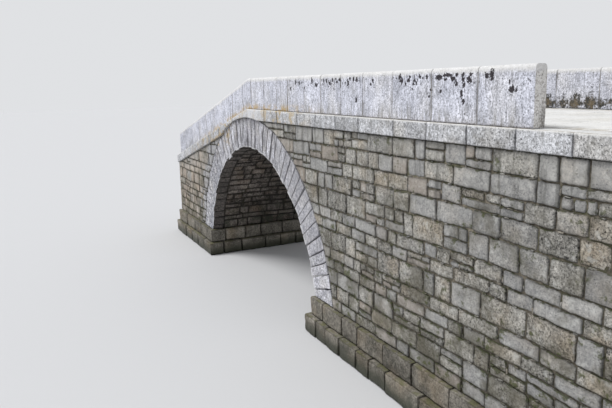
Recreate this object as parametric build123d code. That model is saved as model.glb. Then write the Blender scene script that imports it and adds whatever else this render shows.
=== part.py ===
"""A stone bridge with one round arch, a level carriageway on one side of the crown and a ramp on the other.

The frame: +X runs along the bridge from the foot of the ramp towards the level end, +Y runs across it from the
near face to the far face, and +Z is up. The origin is on the underside of the foundations, at the middle of the
bridge's length and width. Sizes are in millimetres.

Each face is a ring of wedge-shaped stones cut by radial joints, with walls beside and above it. A string course
lies on the walls and is cut to fit over the crown of the ring. Large upright slabs stand on it as the parapet.
"""

from build123d import *

import os
from math import asin, degrees

# The arch
arch_radius = 4600
ring_depth = 980
stones_in_ring = 43
radial_joint = 8
bed_joint = 8
vault_thickness = 700
spandrel_foot = 500

# The parts of the arch behind the rings, from the left springing to the right one
vault_parts = ["left_springing", "left_haunch", "crown", "right_haunch", "right_springing"]

# Heights, above the underside of the foundations
arch_centre_height = 0
foundation_height = 1000
foundation_courses = 2
course_height = 340
ring_rise_into_course = 60
paving_thickness = 150
parapet_height = 950
ramp_fall_per_metre = 250

# Lengths, from the crown of the arch
left_length = 9300
right_length = 13800
foundation_step = 120

# Widths and thicknesses, across the bridge
road_width = 5080
parapet_thickness = 240
parapet_setback = 20
face_wall_thickness = 450
end_wall_thickness = 600
course_projection = 60
course_arris = 18

# The parapet's upright slabs
slab_joint = 8
slab_shoulder = 70
ramp_slab_length = 1050
ramp_slab_count = 8
crown_slab_ramp_side = 500
crown_slab_level_side = 280
near_slab_lengths = [1050, 950, 750, 1040, 940, 1000, 980, 1120, 1260, 1220, 1220]
far_slab_lengths = [1100, 1060, 900, 1020, 1010, 990, 1020, 1230, 1180, 1020, 1000]

# What follows from the sizes above
face_offset = road_width / 2 + parapet_thickness + parapet_setback
wall_inside = face_offset - face_wall_thickness
springing = foundation_height
extrados_radius = arch_radius + ring_depth
vault_radius = arch_radius + vault_thickness
springing_half_span = (arch_radius**2 - (springing - arch_centre_height) ** 2) ** 0.5
course_bottom = arch_centre_height + extrados_radius - ring_rise_into_course
road_level = course_bottom + course_height
ramp_slope = ramp_fall_per_metre / 1000
crown_x = (left_length - right_length) / 2


def outline(*points):
    """A closed outline in the plane of the bridge's side view, from its corners (x from the crown, z)."""
    return Plane.XZ * Polygon(*points, align=None)


def disc(radius):
    """A disc about the centre of the arch, in the plane of the side view."""
    return Plane.XZ * Pos(0, arch_centre_height) * Circle(radius)


def above_springing():
    """Everything in the side view that is higher than the foundations."""
    reach = 2 * extrados_radius
    return outline((-reach, springing), (reach, springing), (reach, reach), (-reach, reach))


def springing_angle(radius):
    """The angle at which a circle about the centre of the arch meets the top of the foundations."""
    return degrees(asin((springing - arch_centre_height) / radius))


def across(profile, y_from, y_to):
    """The side-view profile carried across the bridge from one y to another."""
    return extrude(Pos(Y=y_from) * profile, amount=y_to - y_from, dir=(0, 1, 0))


def along_road(x_from, x_to, below, above):
    """A band that follows the carriageway between two stations, from one height to another beside its surface."""
    stations = [x_from, x_to]
    if x_from < 0 < x_to:
        stations.insert(1, 0)
    lower = [(x, surface(x) + below) for x in stations]
    upper = [(x, surface(x) + above) for x in reversed(stations)]
    return outline(*lower, *upper)


def surface(x):
    """The height of the carriageway: level on one side of the crown, falling on the other."""
    return road_level + min(x, 0) * ramp_slope


def foundation(x_end, side):
    """One abutment's foundation: courses that step out all round the walls and under the arch, more at each."""
    rise = foundation_height / foundation_courses
    courses = []
    for number in range(1, foundation_courses + 1):
        out = number * foundation_step
        heel, toe = x_end + side * out, side * (springing_half_span - out)
        low, high = springing - number * rise, springing - (number - 1) * rise
        profile = outline((heel, low), (toe, low), (toe, high), (heel, high))
        courses.append(across(profile, -face_offset - out, face_offset + out))
    return Part() + courses


def wing_wall(x_end, side):
    """The face wall beyond the haunch, from the foundation up to the string course."""
    x_foot = side * (extrados_radius + spandrel_foot)
    under_end = surface(x_end) - course_height
    under_foot = surface(x_foot) - course_height
    profile = outline((x_end, springing), (x_foot, springing), (x_foot, under_foot), (x_end, under_end))
    return across(profile, -face_offset, -wall_inside)


def spandrel(side):
    """The face wall over the haunch: what the ring leaves under the string course."""
    x_foot = side * (extrados_radius + spandrel_foot)
    under_foot = surface(x_foot) - course_height
    block = outline((0, springing), (x_foot, springing), (x_foot, under_foot), (0, course_bottom))
    return across(block - disc(extrados_radius + bed_joint), -face_offset, -wall_inside)


def ring():
    """Every wedge-shaped stone of one face of the arch, from the left springing to the right one."""
    annulus = (disc(extrados_radius) - disc(arch_radius)) & above_springing()
    start = springing_angle(arch_radius + ring_depth / 2)
    step = (180 - 2 * start) / stones_in_ring
    joint = Pos(X=extrados_radius) * Rectangle(2 * ring_depth + extrados_radius, radial_joint)
    turns = [Rot(Z=start + step * i) for i in range(1, stones_in_ring)]
    joints = [Plane.XZ * Pos(0, arch_centre_height) * turn * joint for turn in turns]
    stones = across(annulus - joints, -face_offset, -wall_inside)
    return stones.solids().sort_by(Axis.X)


def vault(part):
    """One part of the arch behind the rings, numbered from the left springing."""
    start = springing_angle(arch_radius)
    step = (180 - 2 * start) / len(vault_parts)
    angles = [0, *[start + step * i for i in range(1, len(vault_parts))], 180]
    low, high = 180 - angles[part + 1], 180 - angles[part]
    sector = Plane.XZ * Pos(0, arch_centre_height) * sector_face(arch_radius, vault_radius, low, high - low)
    return across(sector & above_springing(), -wall_inside, wall_inside)


def sector_face(inner, outer, start, sweep):
    """A flat sector of an annulus about the origin, with angles in degrees."""
    inner_arc = CenterArc((0, 0), inner, start, sweep)
    outer_arc = CenterArc((0, 0), outer, start, sweep)
    sides = [Line(inner_arc @ 0, outer_arc @ 0), Line(inner_arc @ 1, outer_arc @ 1)]
    return make_face([inner_arc, outer_arc, *sides])


def fill(x_end, side):
    """The packing between the walls, from the foundation to the underside of the paving."""
    inner_end = x_end - side * end_wall_thickness
    top_end = surface(inner_end) - paving_thickness
    block = outline((0, springing), (inner_end, springing), (inner_end, top_end), (0, road_level - paving_thickness))
    return across(block - disc(vault_radius), -wall_inside, wall_inside)


def string_course(x_from, x_to):
    """The projecting course along the top of one face, cut to fit over the crown of the ring."""
    profile = along_road(x_from, x_to, -course_height, 0) - disc(extrados_radius + bed_joint)
    course = across(profile, -face_offset - course_projection, -wall_inside)
    front = course.faces().sort_by(Axis.Y)[0]
    return fillet(front.edges().group_by(SortBy.LENGTH)[-1].sort_by(Axis.Z)[-1], course_arris)


def end_wall(x_end, side):
    """The plain return wall that closes one end between the face walls."""
    x_inside = x_end - side * end_wall_thickness
    tops = [surface(x) - paving_thickness for x in (x_inside, x_end)]
    profile = outline((x_end, springing), (x_inside, springing), (x_inside, tops[0]), (x_end, tops[1]))
    return across(profile, -wall_inside, wall_inside)


def paving(x_from, x_to):
    """The surface of the carriageway between the two string courses."""
    return across(along_road(x_from, x_to, -paving_thickness, 0), -wall_inside, wall_inside)


def parapet_slab(x_from, x_to):
    """One upright slab with its top worn into two round shoulders."""
    outside = -face_offset + parapet_setback
    block = across(along_road(x_from, x_to, 0, parapet_height), outside, outside + parapet_thickness)
    highest = [face for face in block.faces() if face.normal_at().Z > 0.5]
    shoulders = [edge for face in highest for edge in face.edges() if abs(edge.tangent_at(0.5).Y) < 0.1]
    return fillet(shoulders, slab_shoulder)


def slab_row(stations):
    """Slabs between neighbouring stations, each short of the next by one open joint."""
    gap = slab_joint / 2
    return [parapet_slab(a + gap, b - gap) for a, b in zip(stations, stations[1:])]


def running_total(start, lengths):
    """The stations that a row of lengths reaches, from its start."""
    stations = [start]
    for length in lengths:
        stations.append(stations[-1] + length)
    return stations


def far_side(piece):
    """The same piece on the far face."""
    return mirror(piece, about=Plane.XZ)


def write(name, piece):
    """Moves a piece from the crown's own axes into the part's frame and writes it."""
    solids = piece if isinstance(piece, list) else [piece]
    placed = Pos(X=crown_x) * Compound(children=[s for p in solids for s in p.solids()])
    export_step(placed, f"parts/{name}.step")


ramp_start = -crown_slab_ramp_side - ramp_slab_length * ramp_slab_count
stones = ring()
middle = stones_in_ring // 2

one_face = {
    "left_wing_wall": wing_wall(-left_length, -1),
    "right_wing_wall": wing_wall(right_length, 1),
    "left_spandrel": spandrel(-1),
    "right_spandrel": spandrel(1),
    "left_voussoirs": stones[:middle],
    "keystone": stones[middle],
    "right_voussoirs": stones[middle + 1 :],
    "ramp_string_course": string_course(-left_length, 0),
    "level_string_course": string_course(0, right_length),
    "ramp_parapet": slab_row(running_total(ramp_start, [ramp_slab_length] * ramp_slab_count)),
    "crown_slab": slab_row([-crown_slab_ramp_side, crown_slab_level_side]),
    "level_parapet": slab_row(running_total(crown_slab_level_side, near_slab_lengths)),
}

inner_pieces = {
    "left_foundation": foundation(-left_length, -1),
    "right_foundation": foundation(right_length, 1),
    "left_fill": fill(-left_length, -1),
    "right_fill": fill(right_length, 1),
    "left_end_wall": end_wall(-left_length, -1),
    "right_end_wall": end_wall(right_length, 1),
    "ramp_roadway": paving(-left_length, 0),
    "level_roadway": paving(0, right_length),
}
for number, part in enumerate(vault_parts):
    inner_pieces[f"vault_{part}"] = vault(number)

other_face = dict(one_face)
other_face["level_parapet"] = slab_row(running_total(crown_slab_level_side, far_slab_lengths))

os.makedirs("parts", exist_ok=True)
for name, piece in one_face.items():
    write(f"near_{name}", piece)
for name, piece in other_face.items():
    pieces = piece if isinstance(piece, list) else [piece]
    write(f"far_{name}", [far_side(p) for p in pieces])
for name, piece in inner_pieces.items():
    write(name, piece)
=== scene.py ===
import math

import bpy
import numpy as np
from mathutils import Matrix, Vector
from mathutils.geometry import delaunay_2d_cdt


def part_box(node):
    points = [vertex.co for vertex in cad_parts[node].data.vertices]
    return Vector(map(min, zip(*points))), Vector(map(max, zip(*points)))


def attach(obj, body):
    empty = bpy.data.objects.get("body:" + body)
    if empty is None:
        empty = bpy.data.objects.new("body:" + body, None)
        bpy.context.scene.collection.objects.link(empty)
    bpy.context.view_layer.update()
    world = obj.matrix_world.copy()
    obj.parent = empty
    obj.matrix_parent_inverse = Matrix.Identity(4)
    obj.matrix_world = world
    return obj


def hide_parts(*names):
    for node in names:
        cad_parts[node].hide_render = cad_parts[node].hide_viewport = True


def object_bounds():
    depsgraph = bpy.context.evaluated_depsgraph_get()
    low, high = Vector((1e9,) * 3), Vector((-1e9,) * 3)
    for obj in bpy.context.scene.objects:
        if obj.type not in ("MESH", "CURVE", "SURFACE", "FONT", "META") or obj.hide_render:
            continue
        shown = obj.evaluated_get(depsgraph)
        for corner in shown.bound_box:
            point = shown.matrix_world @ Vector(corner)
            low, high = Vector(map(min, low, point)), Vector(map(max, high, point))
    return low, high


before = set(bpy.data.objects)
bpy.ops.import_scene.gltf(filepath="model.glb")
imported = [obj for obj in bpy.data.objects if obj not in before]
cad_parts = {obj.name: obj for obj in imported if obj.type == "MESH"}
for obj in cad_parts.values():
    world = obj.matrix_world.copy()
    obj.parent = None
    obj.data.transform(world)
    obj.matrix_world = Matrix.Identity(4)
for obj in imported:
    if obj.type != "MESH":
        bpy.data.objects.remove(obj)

cad_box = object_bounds()

# The bridge's sizes, in metres. Lengths along it run from the crown of the arch, at x = CROWN.
NEAR, FAR = -1, 1
RADIUS, RING, RING_STONES = 4.6, 0.98, 43
PAVING, BED = 0.15, 0.008
key_low, key_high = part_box("near_keystone")
wall_low, wall_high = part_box("near_right_wing_wall")
slab_low, slab_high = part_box("near_level_parapet")
course_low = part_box("near_level_string_course")[0]
ramp_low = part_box("ramp_roadway")[0]
road_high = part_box("level_roadway")[1]
EXTRADOS = RADIUS + RING
CROWN = (key_low.x + key_high.x) / 2
CENTRE = key_high.z - EXTRADOS
FACE, INSIDE, SPRINGING = -wall_low.y, -wall_high.y, wall_low.z
ROAD = road_high.z
COURSE = ROAD - wall_high.z
LEFT, RIGHT = CROWN - ramp_low.x, road_high.x - CROWN
SLOPE = (ROAD - ramp_low.z - PAVING) / LEFT
PARAPET = slab_high.z - ROAD
OUTSIDE, THICK = -slab_low.y, slab_high.y - slab_low.y
PROUD = -course_low.y - FACE
RISE = SPRINGING - CENTRE
FOOT_ANGLE = math.asin(RISE / (RADIUS + RING / 2))
BEHIND_RING = EXTRADOS + BED

# How far from the crown the spandrels end and the wing walls begin.
SEAM = EXTRADOS + 0.5

# The two ends: the way along the bridge, the length from the crown, and the name.
ENDS = ((-1, LEFT, "left"), (1, RIGHT, "right"))


def surface(x):
    """Height of the carriageway at a station measured from the crown."""
    return ROAD + np.minimum(x, 0) * SLOPE


def wall_top(x):
    """Height of the underside of the string course."""
    return surface(x) - COURSE


# Node trees

class Value:
    """A socket that ordinary arithmetic works on: each operation adds its Math node."""

    def __init__(self, tree, socket):
        self.tree, self.socket = tree, socket

    def math(self, operation, *others):
        return self.tree.add("ShaderNodeMath", dict(enumerate((self, *others))), operation=operation)

    def __add__(self, other):
        return self.math("ADD", other)

    def __sub__(self, other):
        return self.math("SUBTRACT", other)

    def __mul__(self, other):
        return self.math("MULTIPLY", other)

    def __truediv__(self, other):
        return self.math("DIVIDE", other)

    def __rsub__(self, other):
        return (self * -1.0).math("ADD", other)

    def __rtruediv__(self, other):
        return self.math("POWER", -1.0) * other

    def __abs__(self):
        return self.math("ABSOLUTE")

    __radd__, __rmul__ = __add__, __mul__

    def least(self, other):
        return self.math("MINIMUM", other)

    def most(self, other):
        return self.math("MAXIMUM", other)

    def root(self):
        return self.most(0.0).math("SQRT")

    def above(self, level):
        return self.math("GREATER_THAN", level)

    def span(self, low, high, start=0.0, end=1.0, kind="LINEAR"):
        """Goes from start to end as the value goes from low to high, and stays there beyond."""
        values = dict(enumerate((self, low, high, start, end)))
        return self.tree.add("ShaderNodeMapRange", values, interpolation_type=kind)

    def step(self, low, high, start=0.0, end=1.0):
        """The same with a soft start and end."""
        return self.span(low, high, start, end, "SMOOTHSTEP")

    def fade(self, low, high):
        """Falls softly from one to nothing as the value goes from low to high."""
        return self.step(low, high, 1.0, 0.0)

    def hill(self, centre, half):
        """One at the centre, falling to nothing at half a width on either side."""
        return abs(self - centre).fade(0.0, half)

    def outs(self):
        """Every output of the node that this value comes from."""
        return [Value(self.tree, out) for out in self.socket.node.outputs]


class Tree:
    """A node tree to which every node is added in one way."""

    def __init__(self, group):
        self.group = group

    def add(self, kind, values=None, out=0, **settings):
        """Adds a node, with its settings and then the values or links of its sockets."""
        node = self.group.nodes.new(kind)
        for key, setting in settings.items():
            setattr(node, key, setting)
        for key, value in (values or {}).items():
            entry = node.inputs[key]
            if isinstance(value, Value):
                self.group.links.new(value.socket, entry)
            elif entry.type == "RGBA" and len(value) == 3:
                entry.default_value = (*value, 1.0)
            else:
                entry.default_value = value
        return Value(self, node.outputs[out]) if len(node.outputs) else None

    def split(self, vector):
        return self.add("ShaderNodeSeparateXYZ", {0: vector}).outs()

    def join(self, x, y, z):
        return self.add("ShaderNodeCombineXYZ", {0: x, 1: y, 2: z})

    def vector(self, operation, values, out=0):
        return self.add("ShaderNodeVectorMath", values, out, operation=operation)

    def shift(self, first, second):
        return self.vector("ADD", {0: first, 1: second})

    def scale(self, vector, amount):
        return self.vector("SCALE", {0: vector, "Scale": amount})

    def length(self, vector):
        return self.vector("LENGTH", {0: vector}, out=1)

    def mix(self, first, second, share):
        """A colour between the two."""
        return self.add("ShaderNodeMix", {0: share, 6: first, 7: second}, out=2, data_type="RGBA")

    def noise(self, where, scale, detail=4.0, rough=0.55):
        values = {"Vector": where, "Scale": scale, "Detail": detail, "Roughness": rough}
        return self.add("ShaderNodeTexNoise", values)


class Recipe(Tree):
    """A geometry tree with named inputs. Running it gives plain mesh data."""

    def __init__(self, name, counts, sizes):
        """Its inputs are whole numbers, sizes, a seed and a material."""
        super().__init__(bpy.data.node_groups.new(name, "GeometryNodeTree"))
        sockets = self.group.interface
        sockets.new_socket(name="Geometry", in_out="INPUT", socket_type="NodeSocketGeometry")
        kinds = {**dict.fromkeys([*counts, "Seed"], "Int"), **dict.fromkeys(sizes, "Float")}
        kinds["Material"] = "Material"
        for label, kind in kinds.items():
            sockets.new_socket(name=label, in_out="INPUT", socket_type="NodeSocket" + kind)
        sockets.new_socket(name="Geometry", in_out="OUTPUT", socket_type="NodeSocketGeometry")
        self.inputs = {out.socket.name: out for out in self.add("NodeGroupInput").outs()}

    def __getitem__(self, label):
        return self.inputs[label]

    def store(self, geometry, name, kind, value):
        values = {"Geometry": geometry, "Name": name, "Value": value}
        return self.add("GeometryNodeStoreNamedAttribute", values, data_type=kind, domain="POINT")

    def read(self, name, kind):
        return self.add("GeometryNodeInputNamedAttribute", {"Name": name}, data_type=kind)

    def random(self, low, high, number, stream):
        """One random number for each stone."""
        values = {2: low, 3: high, 7: number, 8: self["Seed"] + float(stream)}
        return self.add("FunctionNodeRandomValue", values, out=1, data_type="FLOAT")

    def elsewhere(self, number):
        """A place in the noise that is each stone's own."""
        return self.join(*(self.random(0.0, 40.0, number, stream) for stream in (4, 5, 6)))

    def cube(self, cuts):
        """A unit cube with the given cuts along, across and up."""
        along, across, up = (count + 1 for count in cuts)
        return self.add("GeometryNodeMeshCube", {0: (1.0, 1.0, 1.0), 1: along, 2: across, 3: up})

    def at_each(self, points, instance, turned=None):
        """The instance at each point, as one plain mesh."""
        values = {"Points": points, "Instance": instance, **(turned or {})}
        placed = self.add("GeometryNodeInstanceOnPoints", values)
        return self.add("GeometryNodeRealizeInstances", {"Geometry": placed})

    def move(self, geometry, where):
        return self.add("GeometryNodeSetPosition", {"Geometry": geometry, "Position": where})

    def mark(self, geometry, wear, damp):
        """Marks each stone for its colours: two random numbers, its wear and how damp it stands."""
        number = self.read("number", "INT")
        marks = {0: self.random(0.0, 1.0, number, 1), 1: self.random(0.0, 1.0, number, 2),
                 2: wear.least(1.0), 3: damp}
        colour = self.add("FunctionNodeCombineColor", marks, mode="RGB")
        return self.store(geometry, "stone", "FLOAT_COLOR", colour)

    def finish(self, geometry):
        smooth = self.add("GeometryNodeSetShadeSmooth", {"Geometry": geometry, "Shade Smooth": True})
        values = {"Geometry": smooth, "Material": self["Material"]}
        self.add("NodeGroupOutput", {"Geometry": self.add("GeometryNodeSetMaterial", values)})

    def run(self, name, points, edges, marks, values):
        """The mesh that the tree makes from these points, with the attributes in marks, as plain data."""
        start = bpy.data.meshes.new(name)
        start.from_pydata([tuple(map(float, p)) for p in points], edges, [])
        for key, (kind, data) in marks.items():
            field = "value" if kind == "FLOAT" else "vector"
            numbers = np.array(data, np.float32).ravel()
            start.attributes.new(key, kind, "POINT").data.foreach_set(field, numbers)
        carrier = bpy.data.objects.new(name, start)
        bpy.context.scene.collection.objects.link(carrier)
        modifier = carrier.modifiers.new(name, "NODES")
        modifier.node_group = self.group
        for item in self.group.interface.items_tree:
            if item.in_out == "INPUT" and item.name in values:
                modifier[item.identifier] = values[item.name]
        graph = bpy.context.evaluated_depsgraph_get()
        mesh = bpy.data.meshes.new_from_object(carrier.evaluated_get(graph), depsgraph=graph)
        carrier.modifiers.clear()
        bpy.data.objects.remove(carrier)
        return mesh


# Near either end of a stone, this many of its cuts lie close together.
END_CUTS = 2.0


def worn_block(tree, size, cuts, edges, arris, ends, rough, grain, shift):
    """The shape of one dressed stone, from a unit cube: its section is rounded, and drawn in at both ends.

    The size and the cuts are (along, across, up), and each of the edges is (cuts near it, their reach).
    Returns where each vertex goes, and its wear: nothing on an arris, and one from 50 mm off it.
    """
    unit = tree.split(tree.shift(tree.add("GeometryNodeInputPosition"), (0.5, 0.5, 0.5)))
    spread = []
    for value, whole, count, (near_edge, margin) in zip(unit, size, cuts, edges):
        index, inner = value * count, count - near_edge
        part = margin / whole
        place = index.span(0.0, near_edge, 0.0, part) + index.span(near_edge, inner, 0.0, 1.0 - part * 2.0)
        spread.append((place + index.span(inner, count, 0.0, part)) * whole)
    along, across, up = spread
    gaps = [whole * 0.5 - abs(value - whole * 0.5) for value, whole in zip(spread, size)]
    where = tree.shift(tree.join(along, across, up), shift)
    # The noise is a half on average, so that the arrises are as wide as given on average.
    chip = tree.noise(where, 6.0, 3.0, 0.6)
    radius = arris(up.above(size[2] * 0.5)) * (chip * 1.3 + 0.35)
    end = ends * (chip * 1.2 + 0.4)
    half = [size[1] * 0.5, size[2] * 0.5]
    off = [value - h for value, h in zip((across, up), half)]
    flat = [value.least(h - radius).most(radius - h) for value, h in zip(off, half)]
    out = [value - f for value, f in zip(off, flat)]
    reach = abs(out[0]).most(abs(out[1]))
    length = (out[0] * out[0] + out[1] * out[1] + 1e-12).root()
    inside = (end - along).most(end - (size[0] - along)).most(0.0)
    draw = end - (end * end - inside * inside).root()
    share = reach / radius
    out = [value / length for value in out]
    # The faces are dished more than they stand proud.
    coarse = (tree.noise(where, grain, 4.0, 0.55) - 0.72) * rough * 2.6
    push = coarse + (tree.noise(where, grain * 5.0, 2.0) - 0.5) * rough
    tip = inside / end
    side = (1.0 - tip * tip).root() * share
    along = along + tip * (along.above(size[0] * 0.5) * 2.0 - 1.0) * push
    swell = reach - draw * share + push * side
    across, up = (h + f + o * swell for h, f, o in zip(half, flat, out))
    least = gaps[0].least(gaps[1]).least(gaps[2])
    most = gaps[0].most(gaps[1]).most(gaps[2])
    wear = gaps[0] + gaps[1] + gaps[2] - least - most
    return (along, across, up), wear * 20.0


def laid_stones():
    """Whole stones, one for each point, which may follow the road's fall or be cut over the ring."""
    tree = Recipe("laid stones", ["Cuts along", "Cuts across", "Cuts up", "Edge cuts"], [
        "Lower arris", "Upper arris", "Least end", "Greatest end", "Roughness", "Grain", "Lean",
        "Follow road", "Top limit", "Ring radius", "Damp"])
    points = tree.store(tree["Geometry"], "start", "FLOAT_VECTOR", tree.add("GeometryNodeInputPosition"))
    points = tree.store(points, "number", "INT", tree.add("GeometryNodeInputIndex"))
    points = tree.move(points, tree.join(0.0, 0.0, 0.0))
    cuts = [tree["Cuts along"], tree["Cuts across"], tree["Cuts up"]]
    mesh = tree.at_each(points, tree.cube(cuts))
    number = tree.read("number", "INT")
    size = tree.split(tree.read("size", "FLOAT_VECTOR"))
    ends = tree.random(tree["Least end"], tree["Greatest end"], number, 3)
    sides = (tree["Edge cuts"], tree["Lower arris"].most(tree["Upper arris"]))

    def arris(upper):
        return tree["Lower arris"] + upper * (tree["Upper arris"] - tree["Lower arris"])

    (along, across, up), wear = worn_block(
        tree, size, cuts, [(END_CUTS, ends), sides, sides], arris, ends, tree["Roughness"], tree["Grain"],
        tree.elsewhere(number))
    part = up / size[2]
    start = tree.split(tree.read("start", "FLOAT_VECTOR"))
    x = start[0] + along
    station = x - CROWN
    fall = station.least(0.0) * SLOPE
    y = start[1] + across + part * tree["Lean"] * tree.random(-1.0, 1.0, number, 7)
    ring_top = (tree["Ring radius"] * tree["Ring radius"] - station * station).root() + CENTRE
    cut = (ring_top - (fall + ROAD - COURSE)).most(0.0) * (1.0 - part)
    z = (start[2] + up + fall * tree["Follow road"] + cut).least(fall + ROAD - tree["Top limit"])
    tree.finish(tree.move(tree.mark(mesh, wear, tree["Damp"]), tree.join(x, y, z)))
    return tree


def ring_of_stones():
    """The wedge-shaped stones of one face of the arch, numbered from the left springing."""
    tree = Recipe("ring of stones", ["First stone", "Last stone", "Stones"], [
        "Radius", "Depth", "Thickness", "Joint", "Foot angle", "Rise", "Side", "Hanging stone", "Hang",
        "Unevenness", "Arris", "Roughness"])
    count = tree["Last stone"] - tree["First stone"] + 1.0
    points = tree.add("GeometryNodePoints", {"Count": count, "Position": (0.0, 0.0, 0.0)})
    points = tree.store(points, "number", "INT", tree.add("GeometryNodeInputIndex") + tree["First stone"])
    cuts = (13, 6, 7)
    mesh = tree.at_each(points, tree.cube(cuts))
    number = tree.read("number", "INT")
    step = (math.pi - tree["Foot angle"] * 2.0) / tree["Stones"]
    width = step * (tree["Radius"] + tree["Depth"] * 0.5)
    hanging = 1.0 - abs(number - tree["Hanging stone"]).least(1.0)
    drop = tree.random(-0.03, 0.022, number, 3) + hanging * tree["Hang"]
    depth = tree["Depth"] + drop
    margin = tree["Arris"] * 1.4
    (along, across, up), wear = worn_block(
        tree, (depth, width, tree["Thickness"]), cuts, [(END_CUTS, margin), (1.0, margin), (1.0, margin)],
        lambda upper: tree["Arris"], tree["Arris"] * 1.2, tree["Roughness"], 4.5, tree.elsewhere(number))
    radius = tree["Radius"] - drop + along
    foot = (tree["Rise"] / radius).math("ARCSINE")

    def joint(index):
        """The angle of a joint from the left: the foot of the ring is cut level, the others are radial."""
        inner = index.above(0.5)
        last = index.above(tree["Stones"] - 0.5)
        free = (abs(index - tree["Stones"] * 0.5) - 1.0).above(0.0)
        uneven = tree.random(-1.0, 1.0, index, 9) * tree["Unevenness"] * free
        angle = (tree["Foot angle"] + index * step + uneven) * inner + last
        return angle.most(foot).least(math.pi - foot)

    spare = tree["Joint"] * 0.5 / radius
    low, high = joint(number) + spare, joint(number + 1.0) - spare
    twist = tree.random(-0.004, 0.004, number, 8) * (along / depth - 0.5)
    angle = low + (high - low) * (across / width) + twist / radius
    proud = tree.random(-0.014, 0.012, number, 7)
    x = CROWN - radius * angle.math("COSINE")
    y = tree["Side"] * (up + proud + INSIDE)
    z = (radius * angle.math("SINE") + CENTRE).most(CENTRE + tree["Rise"])
    tree.finish(tree.move(tree.mark(mesh, wear, 0.0), tree.join(x, y, z)))
    return tree


def pinning_stones():
    """Small chips packed along the joints of the walls."""
    tree = Recipe("pinning stones", [], ["Spacing", "Least length", "Greatest length", "Height", "Depth"])
    lines = tree.add("GeometryNodeMeshToCurve", {"Mesh": tree["Geometry"]})
    values = {"Curve": lines, "Length": tree["Spacing"]}
    points = tree.add("GeometryNodeCurveToPoints", values, mode="LENGTH")
    number = tree.add("GeometryNodeInputIndex")
    points = tree.store(points, "number", "INT", number)
    left_out = tree.random(0.0, 1.0, number, 1).above(0.55)
    points = tree.add("GeometryNodeDeleteGeometry", {"Geometry": points, "Selection": left_out})
    number = tree.read("number", "INT")
    # Each chip is a cube drawn part of the way to a ball.
    corner = tree.add("GeometryNodeInputPosition")
    chip = tree.move(tree.cube((2, 2, 2)), tree.scale(corner, 0.35 + 0.36 / tree.length(corner)))
    upright = tree.read("upright", "FLOAT")
    long = tree.random(tree["Least length"], tree["Greatest length"], number, 2)
    thin = tree["Height"] * tree.random(0.7, 1.25, number, 3)
    size = tree.join(long + upright * (thin - long), tree["Depth"], thin + upright * (long - thin))
    tilts = [tree.random(-most, most, number, stream) for most, stream in ((0.2, 4), (0.12, 5), (0.2, 6))]
    turn = tree.add("FunctionNodeEulerToRotation", {0: tree.join(*tilts)})
    mesh = tree.at_each(points, chip, {"Rotation": turn, "Scale": size})
    values = {"Vector": tree.add("GeometryNodeInputPosition"), "Scale": 60.0, "Detail": 1.0}
    uneven = tree.add("ShaderNodeTexNoise", values, out=1)
    shove = tree.scale(tree.shift(uneven, (-0.5, -0.5, -0.5)), 0.012)
    mesh = tree.add("GeometryNodeSetPosition", {"Geometry": mesh, "Offset": shove})
    tree.finish(tree.mark(mesh, tree.random(0.1, 0.5, tree.read("number", "INT"), 7), 0.2))
    return tree


# Stones cut to an outline

def noise(points, scale=1.0, seed=0.0, octaves=3):
    """Smooth noise from -1 to 1 at the points, finer by half at each octave."""
    total, weight, size = 0, 0, 1.0
    for octave in range(octaves):
        where = np.asarray(points, float) * scale * 2 ** octave + seed * 7.31 + octave * 19.7
        corner = np.floor(where)
        part = where - corner
        part = part * part * (3 - 2 * part)
        cell = corner.astype(np.int64)
        value = 0
        for step in np.ndindex(2, 2, 2):
            x, y, z = (cell + step).T
            key = x * 374761393 + y * 668265263 + z * 1103515245
            key = (key ^ (key >> 13)) * 1274126177 & 0xFFFFFFFF
            height = ((key ^ (key >> 16)) & 0xFFFF) / 32767.5 - 1
            near = [part[:, axis] if step[axis] else 1 - part[:, axis] for axis in range(3)]
            value = value + height * (near[0] * near[1]) * near[2]
        total = total + value * size
        weight += size
        size *= 0.5
    return total / weight


def fan(faces):
    """The faces as triangles."""
    return np.array([(f[0], a, b) for f in faces for a, b in zip(f[1:], f[2:])])


def volume(verts, triangles):
    a, b, c = (verts[triangles[:, k]] for k in range(3))
    return float((a * np.cross(b, c)).sum()) / 6


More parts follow.
